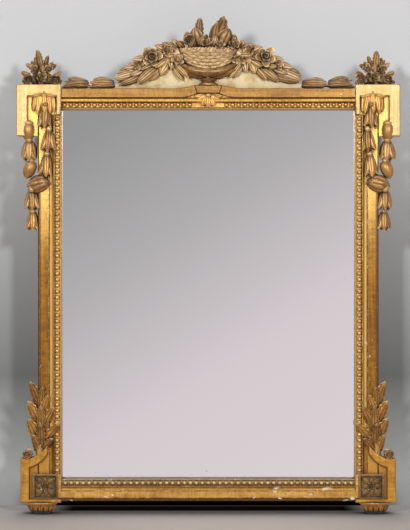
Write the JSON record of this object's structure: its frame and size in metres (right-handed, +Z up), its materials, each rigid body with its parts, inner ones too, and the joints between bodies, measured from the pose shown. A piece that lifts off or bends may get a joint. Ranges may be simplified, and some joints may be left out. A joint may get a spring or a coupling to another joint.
{
  "type": "standing wall mirror",
  "caption": "Tall mirror in a carved and gilded wooden frame with corner ears, bead edges, husk garlands, round feet and a flower-basket crest.",
  "frame": {"origin": "middle of the outer box, on the floor under the feet", "axes": "+Z up, +X to the right for a viewer in front, the glass faces -Y and the back is towards +Y"},
  "size_m": [0.92, 0.083, 1.19],
  "materials": {
    "burnished_gilding": "burnished gold leaf over red bole on wood, worn at the edges",
    "carved_gilding": "matt oil gilding on carved wood, brown in the hollows",
    "ivory_paint": "ivory paint on wood, slightly crazed",
    "bare_wood": "old unpainted softwood",
    "mirror_plate": "clear polished plate, silvered on the back",
    "silvering": "dull grey metal coat",
    "wrought_iron": "dark forged iron with light rust"
  },
  "bodies": {
    "frame": {"back_board_1": "bare_wood", "back_board_2": "bare_wood", "back_board_3": "bare_wood", "back_board_4": "bare_wood", "basket": "carved_gilding", "basket_cradle": "carved_gilding", "basket_flowers": "carved_gilding", "board_pins": "wrought_iron", "bottom_bead_strip": "burnished_gilding", "bottom_rail": "burnished_gilding", "crest_battens": "bare_wood", "crest_panel": "ivory_paint", "crest_screws": "wrought_iron", "glass_blocks": "bare_wood", "hanger_screws": "wrought_iron", "keystone": "burnished_gilding", "left_base_block": "burnished_gilding", "left_base_border": "burnished_gilding", "left_bead_strip": "burnished_gilding", "left_cornice": "burnished_gilding", "left_drop_cap": "carved_gilding", "left_ear_block": "burnished_gilding", "left_ear_border": "burnished_gilding", "left_finial": "carved_gilding", "left_foot": "carved_gilding", "left_garland": "carved_gilding", "left_hanger_plate": "wrought_iron", "left_husk_garland": "carved_gilding", "left_leaf_spray": "carved_gilding", "left_patera": "carved_gilding", "left_rail_spray": "carved_gilding", "left_stile": "burnished_gilding", "mirror_glass": "mirror_plate", "rail_clasp": "carved_gilding", "right_base_block": "burnished_gilding", "right_base_border": "burnished_gilding", "right_bead_strip": "burnished_gilding", "right_cornice": "burnished_gilding", "right_drop_cap": "carved_gilding", "right_ear_block": "burnished_gilding", "right_ear_border": "burnished_gilding", "right_finial": "carved_gilding", "right_foot": "carved_gilding", "right_garland": "carved_gilding", "right_hanger_plate": "wrought_iron", "right_husk_garland": "carved_gilding", "right_leaf_spray": "carved_gilding", "right_patera": "carved_gilding", "right_rail_spray": "carved_gilding", "right_stile": "burnished_gilding", "setting_blocks": "bare_wood", "silvering": "silvering", "tenon_pegs": "bare_wood", "top_bead_strip": "burnished_gilding", "top_rail": "burnished_gilding"},
    "left_ring": {"left_hanging_ring": "wrought_iron"},
    "right_ring": {"right_hanging_ring": "wrought_iron"}
  },
  "joints": [
    {"name": "left_ring_swing", "type": "hinge", "parent": "frame", "child": "left_ring", "pos_m": [-0.389, 0.0373, 0.837], "axis": [1, 0, 0], "range_deg": [-4, 170]},
    {"name": "right_ring_swing", "type": "hinge", "parent": "frame", "child": "right_ring", "pos_m": [0.389, 0.0373, 0.837], "axis": [1, 0, 0], "range_deg": [-4, 170]}
  ]
}
